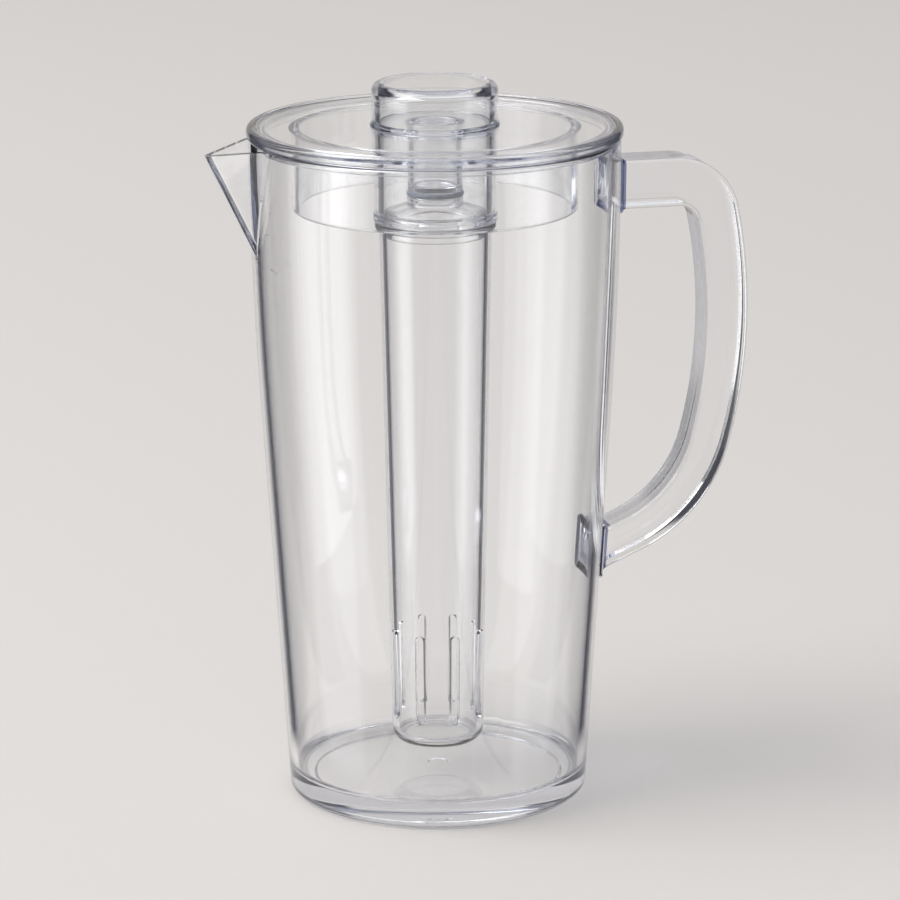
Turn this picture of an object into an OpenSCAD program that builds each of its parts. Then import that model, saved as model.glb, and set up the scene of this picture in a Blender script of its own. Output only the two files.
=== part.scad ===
// Clear pitcher with an ice core that hangs from its lid.
// The jug stands on the plane z = 0, its axis is Z, the spout points to -X and the handle to +X.

/* [Jug] */
// Height of the jug's rim above the table
jug_h = 248; // [200:1:320]
// Outer diameter at the rim
rim_d = 136.3; // [110:0.1:160]
// Lean of the lower wall from the vertical, in degrees
taper_a = 3.72; // [2:0.01:5]
// Height below the rim over which the wall bends upright
bend_h = 103; // [60:1:140]
// Thickness of the wall
wall_t = 3.2; // [2.4:0.1:4]
// Thickness of the base
base_t = 9; // [6:0.1:14]
// Outer rounding of the base
base_round = 3.4; // [1:0.1:5]
// Inner rounding between wall and floor
floor_round = 3.6; // [1:0.1:6]
// Rounding of the rim's two edges
rim_round = 1; // [0.3:0.1:1.1]

/* [Foot] */
// Diameter of the hollow under the base, inside the ring that stands on the table
foot_hollow_d = 92; // [70:0.5:98]
// Depth of that hollow
foot_hollow_h = 1.4; // [0.5:0.1:3]
// Diameter of the moulding mark in the middle of the floor
gate_d = 6.8; // [4:0.1:12]
// Depth of that mark
gate_h = 0.4; // [0.2:0.1:1]

/* [Spout] */
// How far the lip stands out from the rim
lip_reach = 19; // [12:0.5:26]
// How far the spout runs down the wall
lip_drop = 40.4; // [30:0.2:60]
// Width of the spout where it meets the rim
lip_w = 33; // [24:0.5:44]
// How much lower the tip lies than the rim
lip_dip = 3.2; // [0:0.1:5]
// Thickness of the spout's wall
lip_t = 2.3; // [1.6:0.1:3]
// Outer rounding of the nose
nose_r = 3.5; // [3.1:0.1:5]

/* [Handle] */
// Depth of the upper arm's middle below the rim
arm_drop = 20.2; // [16:0.2:34]
// Length of the straight arm beyond the rim
arm_len = 22.6; // [16:0.2:34]
// Height of the upper arm
arm_w = 18.2; // [12:0.1:20]
// Depth of the grip, measured away from the jug
grip_w = 16.3; // [11:0.1:19]
// Depth of the lower arm where it meets the wall
tail_w = 14; // [11:0.1:19]
// Thickness of the handle across
grip_t = 18; // [12:0.2:24]
// Rounding of the handle's edges
grip_round = 1.8; // [1:0.1:5]
// Radius of the bend between arm and grip, at the bar's middle
bend_r = 16; // [13:0.1:24]
// Radius of the long bow, at the bar's middle
bow_r = 189; // [150:1:260]
// Radius of the lower bend, at the bar's middle
heel_r = 52; // [44:0.5:64]
// Turn of the bend between arm and grip, in degrees
bend_turn = 78.5; // [74:0.5:83]
// Turn of the long bow, in degrees
bow_turn = 26.5; // [22:0.5:30]
// Turn of the lower bend, in degrees
heel_turn = 52; // [46:0.5:56]
// Height of each pad that is bonded to the wall
pad_h = 20.6; // [17:0.1:26]
// Width of each pad
pad_w = 21; // [16:0.1:26]
// Thickness of each pad
pad_t = 1.7; // [1:0.1:3]

/* [Lid] */
// How far the lid stands out past the rim
lid_over = 0.85; // [0:0.05:2]
// Height of the lid's outer bead
lid_rim_h = 4.9; // [4:0.1:7]
// Rounding of that bead
lid_rim_round = 1.9; // [1:0.1:1.9]
// Width of the raised bead
lid_bead_w = 3.7; // [2.5:0.1:5]
// How far the plate lies below the bead's top
plate_sink = 0.5; // [0.2:0.1:1]
// Thickness of the plate
plate_t = 2.6; // [2:0.1:3.4]
// Depth of the lip that centres the lid in the rim
locate_h = 2.6; // [1.5:0.1:5]
// Thickness of that lip
locate_t = 1.8; // [1.2:0.1:2.6]
// Gap between that lip and the wall
locate_gap = 0.45; // [0.3:0.05:0.8]
// Gap between the deep skirt and the wall's inner face at the rim
skirt_gap = 12.55; // [7:0.05:16]
// Depth of the skirt below the rim
skirt_h = 25.8; // [16:0.2:36]
// Thickness of the skirt
skirt_t = 2.2; // [1.6:0.1:3]
// Rounding where the skirt meets the plate
skirt_root = 1.2; // [0.6:0.1:4]
// Thickness of the collar that holds the core
collar_t = 3.3; // [2.6:0.1:5]
// Depth of the collar below the rim
collar_h = 30.5; // [27.5:0.1:34]
// Extra radius of the bead at the collar's lower end
collar_bead = 0.6; // [0.2:0.1:1.2]

/* [Ice core] */
// Outer diameter of the tube at its upper end
tube_top_d = 41.4; // [36:0.2:50]
// Outer diameter of the tube at its lower end
tube_end_d = 33.9; // [28:0.1:36]
// Thickness of the tube's wall
tube_t = 2.4; // [1.8:0.1:3]
// Thickness of the tube's closed end
tube_end_t = 2.8; // [2:0.1:5]
// Rounding of the tube's closed end
tube_end_round = 5; // [3:0.1:6]
// Gap between the tube's end and the jug's floor
tube_floor_gap = 9.4; // [5:0.1:30]
// Number of slots round the tube
slot_n = 8; // [4:1:10]
// Width of a slot
slot_w = 3.3; // [2:0.1:5]
// Length of a slot
slot_h = 34.6; // [16:0.2:60]
// Height of the slots above the tube's end
slot_up = 9.6; // [8:0.1:20]
// Turn of the first slot from the handle's direction, in degrees
slot_turn = 8.5; // [0:0.5:45]

/* [Core cap] */
// How far the cap's body, which enters the collar, lies inside the tube's upper edge
cap_step = 2; // [1.6:0.1:2.5]
// Height of the flange between tube and collar
flange_h = 2.6; // [1.8:0.1:4]
// How far that flange stands out past the tube
flange_over = 1.7; // [0.5:0.1:3]
// Height of the cap's upright side above the flange
cap_side_h = 4; // [3.6:0.1:6]
// Height of the domed shoulder
shoulder_h = 3; // [1.5:0.1:4]
// Outer diameter of the filling neck
neck_d = 20.6; // [18:0.1:21]
// Height of the filling neck
neck_h = 2.9; // [2:0.1:5]
// Thickness of the cap's wall
cap_t = 2.2; // [1.6:0.1:2.6]
// Depth of the plug inside the tube
plug_h = 3; // [2:0.5:12]
// Gap between that plug and the tube
plug_gap = 0.15; // [0.1:0.05:0.3]
// Running gap between cap and collar
cap_gap = 0.3; // [0.2:0.05:0.5]

/* [Bayonet] */
// Angle through which the core turns to unlock, in degrees
unlock_a = 40; // [20:1:60]
// Angle that each lug spans, in degrees
lug_a = 20; // [10:1:30]
// How far each lug stands out
lug_out = 1.5; // [0.8:0.1:1.6]
// Height of each lug
lug_h = 1.5; // [1:0.1:1.8]
// Turn of the first lug from the handle's direction, in degrees
lug_turn = 60; // [0:1:180]

/* [Stopper] */
// Outer diameter of the knob
knob_d = 46.2; // [44:0.2:54]
// Height of the knob above the plate
knob_h = 16; // [12:0.2:30]
// Thickness of the knob's side
knob_t = 2.7; // [2:0.1:3.2]
// Thickness of the knob's top
knob_top_t = 2.5; // [1.8:0.1:3.4]
// Rounding of the knob's top edge
knob_round = 3; // [2:0.1:4]
// How far the knob's foot flares out
knob_flare = 0.9; // [0.3:0.1:2]
// Thickness of the stem's disc, which closes the knob
disc_t = 1.8; // [1.2:0.1:3]
// Outer diameter of the stem
stem_d = 20; // [17:0.1:20.4]
// Thickness of the stem's wall
stem_t = 2; // [1.4:0.1:2.6]
// Length of the nose that enters the filling neck
nose_h = 2.6; // [1.5:0.1:4]
// Thickness of the seal between stem and neck
seal_h = 1.8; // [1:0.1:2.4]
// Outer diameter of the seal
seal_d = 21.2; // [20:0.1:21.6]
// Gap round the stem in the plate, and round its nose in the neck
stem_gap = 0.3; // [0.2:0.05:0.5]

/* [Hidden] */
$fn = 128;
// overrun of every cut past the solid that it cuts
cut = 1.2;
// rounding of a wall's edge, as a share of the wall's thickness
edge_share = 0.4;
// a right angle, in degrees
right_a = 90;
// angle of one step along a rounding, and the least number of steps
round_turn = 12;
round_n = 4;

// Heights
seat_z = jug_h;
lid_top_z = seat_z + lid_rim_h;
plate_top_z = lid_top_z - plate_sink;
plate_low_z = plate_top_z - plate_t;
skirt_low_z = seat_z - skirt_h;
collar_low_z = seat_z - collar_h;
flange_top_z = collar_low_z - cap_gap;
tube_top_z = flange_top_z - flange_h;
tube_end_z = base_t + tube_floor_gap;
cap_edge_z = flange_top_z + cap_side_h;
neck_low_z = cap_edge_z + shoulder_h;
neck_top_z = neck_low_z + neck_h;
stem_low_z = neck_top_z + seal_h;
knob_top_z = plate_top_z + knob_h;
disc_top_z = plate_top_z + disc_t;

// Radii
rim_r = rim_d / 2;
tube_top_r = tube_top_d / 2;
cap_r = tube_top_r - cap_step;
collar_bore_r = cap_r + cap_gap;
collar_r = collar_bore_r + collar_t;
flange_r = tube_top_r + flange_over;
neck_r = neck_d / 2;
neck_bore_r = neck_r - cap_t;
stem_r = stem_d / 2;
seal_r = seal_d / 2;
plate_bore_r = seal_r + stem_gap;
knob_bore_r = knob_d / 2 - knob_t;

// A corner list holds [x, y, rounding]; rounded() gives the outline's points
function unit(v) = v / norm(v);
function flat(p) = [p[0], p[1]];
function corner(a, p, b) =
    let (u = unit(flat(a) - flat(p)),
         v = unit(flat(b) - flat(p)),
         half = acos(max(-1, min(1, u * v))) / 2,
         back = p[2] / tan(half),
         c = flat(p) + unit(u + v) * p[2] / sin(half),
         from = flat(p) + u * back - c,
         to = flat(p) + v * back - c,
         a0 = atan2(from[1], from[0]),
         turn = atan2(from[0] * to[1] - from[1] * to[0], from * to),
         n = max(round_n, ceil(abs(turn) / round_turn)))
    [for (i = [0:n]) c + p[2] * [cos(a0 + turn * i / n), sin(a0 + turn * i / n)]];
function rounded(list) =
    let (n = len(list))
    [for (i = [0:n - 1])
        each list[i][2] > 0
            ? corner(list[(i + n - 1) % n], list[i], list[(i + 1) % n])
            : [flat(list[i])]];

// Outer radius of the jug: a straight taper that bends upright below the rim
bend_wall_r = bend_h / sin(taper_a);
taper_top_z = jug_h - bend_h;
taper_top_r = rim_r - bend_wall_r * (1 - cos(taper_a));
function wall_r(z) =
    z < taper_top_z
        ? taper_top_r - (taper_top_z - z) * tan(taper_a)
        : rim_r - bend_wall_r + sqrt(pow(bend_wall_r, 2) - pow(min(jug_h, z) - jug_h, 2));
wall_n = 10;
bend_zs = [for (i = [0:wall_n - 1]) taper_top_z + bend_h * i / wall_n];

// Solid of the jug's outside, which spout and handle are bonded to
module jug_outside(grow = 0, above = 0)
    rotate_extrude()
        polygon(concat([[0, 0], [wall_r(0) + grow, 0]],
                       [for (z = bend_zs) [wall_r(z) + grow, z]],
                       [[rim_r + grow, jug_h + above], [0, jug_h + above]]));

module vessel() {
    inner_low_r = wall_r(base_t) - wall_t;
    color("lightsteelblue")
        difference() {
            rotate_extrude()
                polygon(rounded(concat(
                    [[0, foot_hollow_h, 0],
                     [foot_hollow_d / 2, foot_hollow_h, foot_hollow_h / 2],
                     [foot_hollow_d / 2 + foot_hollow_h / 2, 0, 0],
                     [wall_r(0), 0, base_round]],
                    [for (z = bend_zs) [wall_r(z), z, 0]],
                    [[rim_r, jug_h, rim_round],
                     [rim_r - wall_t, jug_h, rim_round]],
                    [for (i = [wall_n - 1:-1:0]) [wall_r(bend_zs[i]) - wall_t, bend_zs[i], 0]],
                    [[inner_low_r, base_t, floor_round],
                     [gate_d / 2 + gate_h, base_t, 0],
                     [gate_d / 2, base_t - gate_h, 0],
                     [0, base_t - gate_h, 0]])));
            spout_wedge(nose_r - lip_t, jug_h + cut);
        }
}

// The spout is a sloping V. Its nose line runs from the wall at lip_low_z out to the tip.
lip_low_z = jug_h - lip_drop;
lip_low_r = wall_r(lip_low_z);
lip_tip_r = rim_r + lip_reach;
lip_tilt = atan((lip_tip_r - lip_low_r) / lip_drop);
lip_plan_a = atan((lip_w / 2 - nose_r) / lip_reach);
lip_side_a = atan(tan(lip_plan_a) / cos(lip_tilt));
// length of the V's sides, which reach past the wall's inner face at the rim
lip_side = (lip_reach + wall_t * 2) / cos(lip_plan_a);

module spout_wedge(r, top_z) {
    steps = 6;
    spread = right_a - lip_side_a;
    touch = [for (i = [-steps:steps]) 180 + spread * i / steps];
    nose = [for (a = touch) [nose_r + r * cos(a), r * sin(a)]];
    first = nose[0];
    last = nose[len(nose) - 1];
    run = lip_side * [cos(lip_side_a), sin(lip_side_a)];
    intersection() {
        translate([-lip_low_r, 0, lip_low_z])
            rotate([0, -lip_tilt, 0])
                translate([0, 0, -lip_drop])
                    linear_extrude(lip_drop * 3)
                        polygon(concat([first + [run[0], run[1]]],
                                       nose,
                                       [last + [run[0], -run[1]]]));
        translate([-rim_r * 2, -rim_r, 0])
            cube([rim_r * 2 - cut, rim_r * 2, top_z]);
    }
}

module spout() {
    dip_a = atan(lip_dip / lip_reach);
    color("lightsteelblue")
        difference() {
            spout_wedge(nose_r, jug_h);
            spout_wedge(nose_r - lip_t, jug_h + cut);
            jug_outside(above = cut);
            translate([-rim_r, 0, jug_h])
                rotate([0, -dip_a, 0])
                    translate([-lip_reach * 2, -lip_w, 0])
                        cube([lip_reach * 2, lip_w * 2, lip_drop]);
        }
}

// Middle line of the handle as [x, z, heading], heading in degrees from +X
arm_z = jug_h - arm_drop;
bend_n = 9;
bow_n = 8;
heel_n = 9;
// the bar slims evenly from the grip to the tail
slim_n = bow_n + heel_n;
function bend(p, r, turn, n) =
    let (c = [p[0] + r * sin(p[2]), p[1] - r * cos(p[2])])
    [for (i = [1:n]) let (a = p[2] - turn * i / n) [c[0] - r * sin(a), c[1] + r * cos(a), a]];
function ahead(p, run) = [p[0] + run * cos(p[2]), p[1] + run * sin(p[2]), p[2]];
arm_start = [rim_r - wall_t, arm_z, 0];
arm_end = [rim_r + arm_len, arm_z, 0];
bend_line = bend(arm_end, bend_r, bend_turn, bend_n);
bow_line = bend(bend_line[bend_n - 1], bow_r, bow_turn, bow_n);
heel_line = bend(bow_line[bow_n - 1], heel_r, heel_turn, heel_n);
heel_end = heel_line[heel_n - 1];
// share of the tail's length that goes back towards the jug
tail_share = -cos(bend_turn + bow_turn + heel_turn);
// the tail runs on into the wall, which trims it
tail_run = (heel_end[0] - wall_r(heel_end[1]) + tail_w) / tail_share;
tail_end = ahead(heel_end, tail_run);
// the lower pad's middle is where the tail meets the wall
root_run = (heel_end[0] - wall_r(heel_end[1])) / tail_share;
root_z = heel_end[1] + root_run * sin(heel_end[2]);
handle_line = concat([arm_start, arm_end], bend_line, bow_line, heel_line, [tail_end]);
handle_ws = concat([arm_w, arm_w],
                   [for (i = [1:bend_n]) arm_w + (grip_w - arm_w) * i / bend_n],
                   [for (i = [1:slim_n]) grip_w + (tail_w - grip_w) * i / slim_n],
                   [tail_w]);

// Points of a rounded oblong, w by t, round the origin
oblong_n = 5;
function oblong(w, t, r) =
    [for (q = [0:3])
        let (cx = (q == 0 || q == 3 ? 1 : -1) * (w / 2 - r),
             cy = (q < 2 ? 1 : -1) * (t / 2 - r))
        for (i = [0:oblong_n])
            let (a = right_a * (q + i / oblong_n))
            [cx + r * cos(a), cy + r * sin(a)]];

module handle_bar() {
    side = 4 * (oblong_n + 1);
    rings = len(handle_line);
    points = [for (i = [0:rings - 1])
                let (p = handle_line[i])
                for (q = oblong(handle_ws[i], grip_t, grip_round))
                    [p[0] - q[0] * sin(p[2]), q[1], p[1] + q[0] * cos(p[2])]];
    walls = [for (i = [0:rings - 2])
                for (j = [0:side - 1])
                    let (a = i * side + j,
                         b = i * side + (j + 1) % side)
                    each [[a, b, a + side], [b, b + side, a + side]]];
    near = [for (j = [side - 1:-1:0]) j];
    far = [for (j = [0:side - 1]) (rings - 1) * side + j];
    polyhedron(points, concat(walls, [near, far]));
}

// Pad that follows the wall: an oblong bar cut to a thin shell over the jug's outside
module pad(z) {
    intersection() {
        translate([0, 0, z])
            rotate([0, 90, 0])
                linear_extrude(rim_r + pad_t)
                    polygon(oblong(pad_h, pad_w, grip_round));
        difference() {
            jug_outside(grow = pad_t);
            jug_outside();
        }
    }
}

module handle() {
    color("lightsteelblue")
        union() {
            difference() {
                handle_bar();
                jug_outside();
            }
            pad(arm_z);
            pad(root_z);
        }
}

module lid() {
    lid_r = rim_r + lid_over;
    locate_r = rim_r - wall_t - locate_gap;
    skirt_r = rim_r - wall_t - skirt_gap;
    bead_top = collar_low_z + flange_h;
    color("aliceblue")
        difference() {
            rotate_extrude()
                polygon(rounded(
                    [[plate_bore_r, plate_low_z, 0],
                     [collar_bore_r, plate_low_z, 0],
                     [collar_bore_r, collar_low_z, 0],
                     [collar_r + collar_bead, collar_low_z, collar_bead],
                     [collar_r + collar_bead, bead_top, 0],
                     [collar_r, bead_top + collar_bead, 0],
                     [collar_r, plate_low_z, collar_bead],
                     [skirt_r - skirt_t, plate_low_z, skirt_root / 2],
                     [skirt_r - skirt_t, skirt_low_z, skirt_t * edge_share],
                     [skirt_r, skirt_low_z, skirt_t * edge_share],
                     [skirt_r, plate_low_z, skirt_root],
                     [locate_r - locate_t, plate_low_z, 0],
                     [locate_r - locate_t, seat_z - locate_h, locate_t * edge_share],
                     [locate_r, seat_z - locate_h, locate_t * edge_share],
                     [locate_r, seat_z, 0],
                     [lid_r, seat_z, lid_rim_round],
                     [lid_r, lid_top_z, lid_rim_round],
                     [lid_r - lid_bead_w, lid_top_z, plate_sink],
                     [lid_r - lid_bead_w - plate_sink, plate_top_z, 0],
                     [plate_bore_r, plate_top_z, 0]]));
            for (turn = [0, 180])
                rotate(lug_turn + turn)
                    bayonet_groove();
        }
}

// Height of the lugs, at the upper end of the cap's side
lug_low_z = cap_edge_z - lug_h - cap_gap;

// Angle that a gap spans at the lug's radius
gap_a = cap_gap / cap_r * 180 / PI;

// Ring sector between two radii, from angle 0 to a
module sector(r_in, r_out, z, h, a)
    rotate_extrude(angle = a)
        translate([r_in, z])
            square([r_out - r_in, h]);

// Groove in the collar: a level run in which the lug turns, and a way in from below
module bayonet_groove() {
    out_r = cap_r + lug_out + cap_gap;
    in_r = collar_bore_r - cut;
    low_z = lug_low_z - cap_gap;
    high_z = lug_low_z + lug_h + cap_gap;
    wide = lug_a + gap_a * 2;
    // the level run ends inside the way in, so that no two side faces of the cuts fall together
    rotate(-gap_a)
        sector(in_r, out_r, low_z, high_z - low_z, unlock_a + wide / 2);
    rotate(unlock_a - gap_a)
        sector(in_r, out_r, collar_low_z - cut, high_z - collar_low_z + cut, wide);
}

module core_cap() {
    plug_r = tube_top_r - tube_t - plug_gap;
    color("powderblue")
        union() {
            rotate_extrude()
                polygon(rounded(
                    [[plug_r - cap_t, tube_top_z - plug_h, 0],
                     [plug_r, tube_top_z - plug_h, cap_t * edge_share],
                     [plug_r, tube_top_z, 0],
                     [flange_r, tube_top_z, flange_h * edge_share],
                     [flange_r, flange_top_z, flange_h * edge_share],
                     [cap_r, flange_top_z, 0],
                     [cap_r, cap_edge_z, cap_t * edge_share],
                     [neck_r, neck_low_z, cap_t * edge_share],
                     [neck_r, neck_top_z, 0],
                     [neck_bore_r, neck_top_z, 0],
                     [neck_bore_r, neck_low_z - cap_t, 0],
                     [plug_r - cap_t, cap_edge_z - cap_t, cap_t]]));
            for (turn = [0, 180])
                rotate(lug_turn + turn)
                    sector(cap_r - cap_t / 2, cap_r + lug_out, lug_low_z, lug_h, lug_a);
        }
}

module core_tube() {
    end_r = tube_end_d / 2;
    color("lightcyan")
        difference() {
            rotate_extrude()
                polygon(rounded(
                    [[0, tube_end_z, 0],
                     [end_r, tube_end_z, tube_end_round],
                     [tube_top_r, tube_top_z, 0],
                     [tube_top_r - tube_t, tube_top_z, 0],
                     [end_r - tube_t, tube_end_z + tube_end_t, tube_end_round - tube_t],
                     [0, tube_end_z + tube_end_t, 0]]));
            for (i = [0:slot_n - 1])
                rotate(slot_turn + i * 360 / slot_n)
                    slot();
        }
}

// One upright slot with round ends, cut outward from the axis
module slot() {
    low = tube_end_z + slot_up;
    r = slot_w / 2;
    translate([0, -r, low + r])
        cube([tube_top_d, slot_w, slot_h - slot_w]);
    for (z = [low + r, low + slot_h - r])
        translate([0, 0, z])
            rotate([0, 90, 0])
                cylinder(h = tube_top_d, r = r);
}

module knob() {
    r = knob_d / 2;
    color("aliceblue")
        rotate_extrude()
            polygon(rounded(
                [[knob_bore_r, plate_top_z, 0],
                 [r + knob_flare, plate_top_z, knob_flare / 3],
                 [r, plate_top_z + knob_flare * 2, knob_flare],
                 [r, knob_top_z, knob_round],
                 [0, knob_top_z, 0],
                 [0, knob_top_z - knob_top_t, 0],
                 [knob_bore_r, knob_top_z - knob_top_t, knob_round - knob_flare]]));
}

module stem() {
    bore_r = stem_r - stem_t;
    guide_r = plate_bore_r - stem_gap;
    nose_r = neck_bore_r - stem_gap;
    color("powderblue")
        rotate_extrude()
            polygon(rounded(
                [[0, neck_top_z - nose_h, 0],
                 [nose_r, neck_top_z - nose_h, stem_t * edge_share],
                 [nose_r, stem_low_z, 0],
                 [stem_r, stem_low_z, 0],
                 [stem_r, plate_low_z - stem_t, 0],
                 [guide_r, plate_low_z, 0],
                 [guide_r, plate_top_z, 0],
                 [knob_bore_r, plate_top_z, 0],
                 [knob_bore_r, disc_top_z, 0],
                 [bore_r, disc_top_z, stem_t * edge_share],
                 [bore_r, stem_low_z + stem_t, stem_t * edge_share],
                 [0, stem_low_z + stem_t, 0]]));
}

module seal_ring() {
    color("slategray")
        rotate_extrude()
            polygon(rounded(
                [[neck_bore_r - stem_gap, neck_top_z, 0],
                 [seal_r, neck_top_z, seal_h * edge_share],
                 [seal_r, stem_low_z, seal_h * edge_share],
                 [neck_bore_r - stem_gap, stem_low_z, 0]]));
}

vessel();
spout();
handle();
lid();
knob();
stem();
seal_ring();
core_cap();
core_tube();
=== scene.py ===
from math import atan, cos, hypot, pi, radians, sin, sqrt, tan

import bmesh
import bpy
from mathutils import Matrix, Vector


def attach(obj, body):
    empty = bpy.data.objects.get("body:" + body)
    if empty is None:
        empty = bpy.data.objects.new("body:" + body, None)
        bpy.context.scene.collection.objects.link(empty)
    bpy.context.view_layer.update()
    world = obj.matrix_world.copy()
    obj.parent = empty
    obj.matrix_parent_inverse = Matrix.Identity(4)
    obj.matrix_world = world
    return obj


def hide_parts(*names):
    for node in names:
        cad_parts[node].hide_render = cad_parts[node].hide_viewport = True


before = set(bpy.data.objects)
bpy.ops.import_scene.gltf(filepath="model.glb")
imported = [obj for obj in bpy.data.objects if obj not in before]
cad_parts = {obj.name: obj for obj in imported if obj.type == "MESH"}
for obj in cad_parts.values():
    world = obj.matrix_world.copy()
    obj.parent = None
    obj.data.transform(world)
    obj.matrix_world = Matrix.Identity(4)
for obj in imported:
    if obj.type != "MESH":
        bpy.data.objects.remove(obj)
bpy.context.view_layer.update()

# All lengths of the pitcher are in millimetres here, as on a maker's drawing.
MM = 0.001
TURN_STEPS = 256
ROUND_STEPS = 7
GAP = 0.03
SAME_PLACE = 1e-7
SHARP_ANGLE = radians(28)
# Rings narrower than this belong to a rounded edge
ROUNDING_W = 1.2

# Jug
JUG_H = 248
RIM_R = 68.15
TAPER = radians(3.72)
BEND_H = 103
BEND_STEPS = 24
WALL = 3.2
BASE = 9

# Heights of the lid, the core and the stopper
LID_TOP = 252.9
PLATE_TOP = 252.4
PLATE_LOW = 249.8
SKIRT_LOW = 222.2
COLLAR_LOW = 217.5
FLANGE_TOP = 217.2
TUBE_TOP = 214.6
TUBE_END = 18.4
CAP_EDGE = 221.2
NECK_LOW = 224.2
NECK_TOP = 227.1
STEM_LOW = 228.9
KNOB_TOP = 268.4
LUG_LOW = 219.4

BEND_R = BEND_H / sin(TAPER)
TAPER_TOP = JUG_H - BEND_H
TAPER_TOP_R = RIM_R - BEND_R * (1 - cos(TAPER))


def wall_r(z):
    """Outer radius of the jug at a height: a straight taper that bends upright below the rim."""
    if z < TAPER_TOP:
        return TAPER_TOP_R - (TAPER_TOP - z) * tan(TAPER)
    return RIM_R - BEND_R + sqrt(BEND_R ** 2 - (min(z, JUG_H) - JUG_H) ** 2)


# Making of shapes

def outline(bm, corners, closed=True):
    """Draws [radius, height, rounding] corners as an outline in the XZ plane, and rounds them."""
    verts = [bm.verts.new((x * MM, 0, z * MM)) for x, z, _ in corners]
    for a, b in zip(verts, verts[1:] + verts[:1] if closed else verts[1:]):
        bm.edges.new((a, b))
    for i, (x, z, r) in enumerate(corners):
        if not r:
            continue
        here = Vector((x, z))
        before = Vector(corners[i - 1][:2]) - here
        after = Vector(corners[(i + 1) % len(corners)][:2]) - here
        bmesh.ops.bevel(
            bm, geom=[verts[i]], offset=r / tan(before.angle(after) / 2) * MM, offset_type="OFFSET",
            affect="VERTICES", segments=ROUND_STEPS, profile=0.5, material=-1, clamp_overlap=False)


def close_up(bm):
    bmesh.ops.remove_doubles(bm, verts=bm.verts, dist=SAME_PLACE)
    bmesh.ops.recalc_face_normals(bm, faces=bm.faces)


def turned(corners, closed=True):
    """A body of revolution round the jug's axis."""
    bm = bmesh.new()
    outline(bm, corners, closed)
    bmesh.ops.spin(
        bm, geom=bm.verts[:] + bm.edges[:], axis=(0, 0, 1), cent=(0, 0, 0),
        angle=2 * pi, steps=TURN_STEPS, use_merge=True)
    close_up(bm)
    return bm


def as_object(name, bm):
    mesh = bpy.data.meshes.new(name)
    bm.to_mesh(mesh)
    bm.free()
    ob = bpy.data.objects.new(name, mesh)
    bpy.context.collection.objects.link(ob)
    return ob


def cut(ob, tool_bm, operation="DIFFERENCE"):
    """Cuts one mesh by another, or joins them, and keeps the result as the object's own mesh."""
    tool = as_object("cutter", tool_bm)
    change = ob.modifiers.new("cut", "BOOLEAN")
    change.operation = operation
    change.solver = "EXACT"
    change.object = tool
    seen = ob.evaluated_get(bpy.context.evaluated_depsgraph_get())
    mesh = bpy.data.meshes.new_from_object(seen)
    ob.modifiers.clear()
    ob.data = mesh
    bpy.data.objects.remove(tool)


def cut_flat(bm, point, normal):
    """Cuts away what lies beyond a plane, and closes the cut."""
    made = bmesh.ops.bisect_plane(
        bm, geom=bm.verts[:] + bm.edges[:] + bm.faces[:], dist=SAME_PLACE,
        plane_co=point, plane_no=normal, clear_outer=True)
    edges = [e for e in made["geom_cut"] if isinstance(e, bmesh.types.BMEdge)]
    bmesh.ops.holes_fill(bm, edges=edges)


def new_verts(made):
    return [v for v in made["geom"] if isinstance(v, bmesh.types.BMVert)]


def smooth(ob):
    """Shades a piece smooth, with normals that keep flat walls flat to the light through them."""
    ob.data.shade_smooth()
    ob.data.set_sharp_from_angle(angle=SHARP_ANGLE)
    keep = ob.modifiers.new("flat walls", "WEIGHTED_NORMAL")
    keep.mode = "FACE_AREA"
    keep.weight = 50
    keep.keep_sharp = True


def is_outside(c, slack=0.3):
    """Whether a point in metres lies on the jug's outer wall."""
    return abs(hypot(c.x, c.y) / MM - wall_r(c.z / MM)) < slack


def mark_faces(ob, label, covered):
    """Marks faces for the finishes: "bonded" is welded to a piece, "seam" is the edge of a pad,
    which gets painted shade.
    """
    marks = ob.data.attributes.new(label, "FLOAT", "FACE")
    for face in ob.data.polygons:
        marks.data[face.index].value = float(covered(face.center))


def mark_roundings(ob):
    """Marks the rounded edges of a turned piece, where the clear plastic gets painted dark lines of
    shade.
    """
    marks = ob.data.attributes.new("rounding", "FLOAT", "FACE")
    for face in ob.data.polygons:
        corners = [ob.data.vertices[i].co for i in face.vertices]
        radii = [hypot(c.x, c.y) for c in corners]
        heights = [c.z for c in corners]
        width = hypot(max(radii) - min(radii), max(heights) - min(heights))
        marks.data[face.index].value = float(width < ROUNDING_W * MM)


def imprint(ob, planes, near):
    """Draws the outline of a welded piece on the faces near it."""
    bm = bmesh.new()
    bm.from_mesh(ob.data)
    for point, normal in planes:
        faces = [f for f in bm.faces if near(f.calc_center_median())]
        edges = {e for f in faces for e in f.edges}
        verts = {v for f in faces for v in f.verts}
        bmesh.ops.bisect_plane(
            bm, geom=[*verts, *edges, *faces], dist=SAME_PLACE, plane_co=point, plane_no=normal)
    bm.to_mesh(ob.data)
    bm.free()


def place(ob, node, body, finish):
    """Puts a finished piece in a CAD node's stead. All but the handle's bar are turned or flat."""
    if node != "handle":
        mark_roundings(ob)
    ob.data.name = ob.name
    ob.data.materials.clear()
    ob.data.materials.append(finish)
    smooth(ob)
    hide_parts(node)
    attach(ob, body)


# Jug

def jug_bend(inset):
    """The wall's bend below the rim, moved inwards."""
    heights = [TAPER_TOP + BEND_H * i / BEND_STEPS for i in range(BEND_STEPS)]
    return [(wall_r(z) - inset, z, 0) for z in heights]


def jug_outside(grow, top):
    """Solid that fills the jug's outside, a little larger, up to a height."""
    return turned([(0, -1, 0), (wall_r(0) + grow, -1, 0)]
                  + [(x, z, 0) for x, z, _ in jug_bend(-grow)]
                  + [(RIM_R + grow, top, 0), (0, top, 0)], closed=False)


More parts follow.
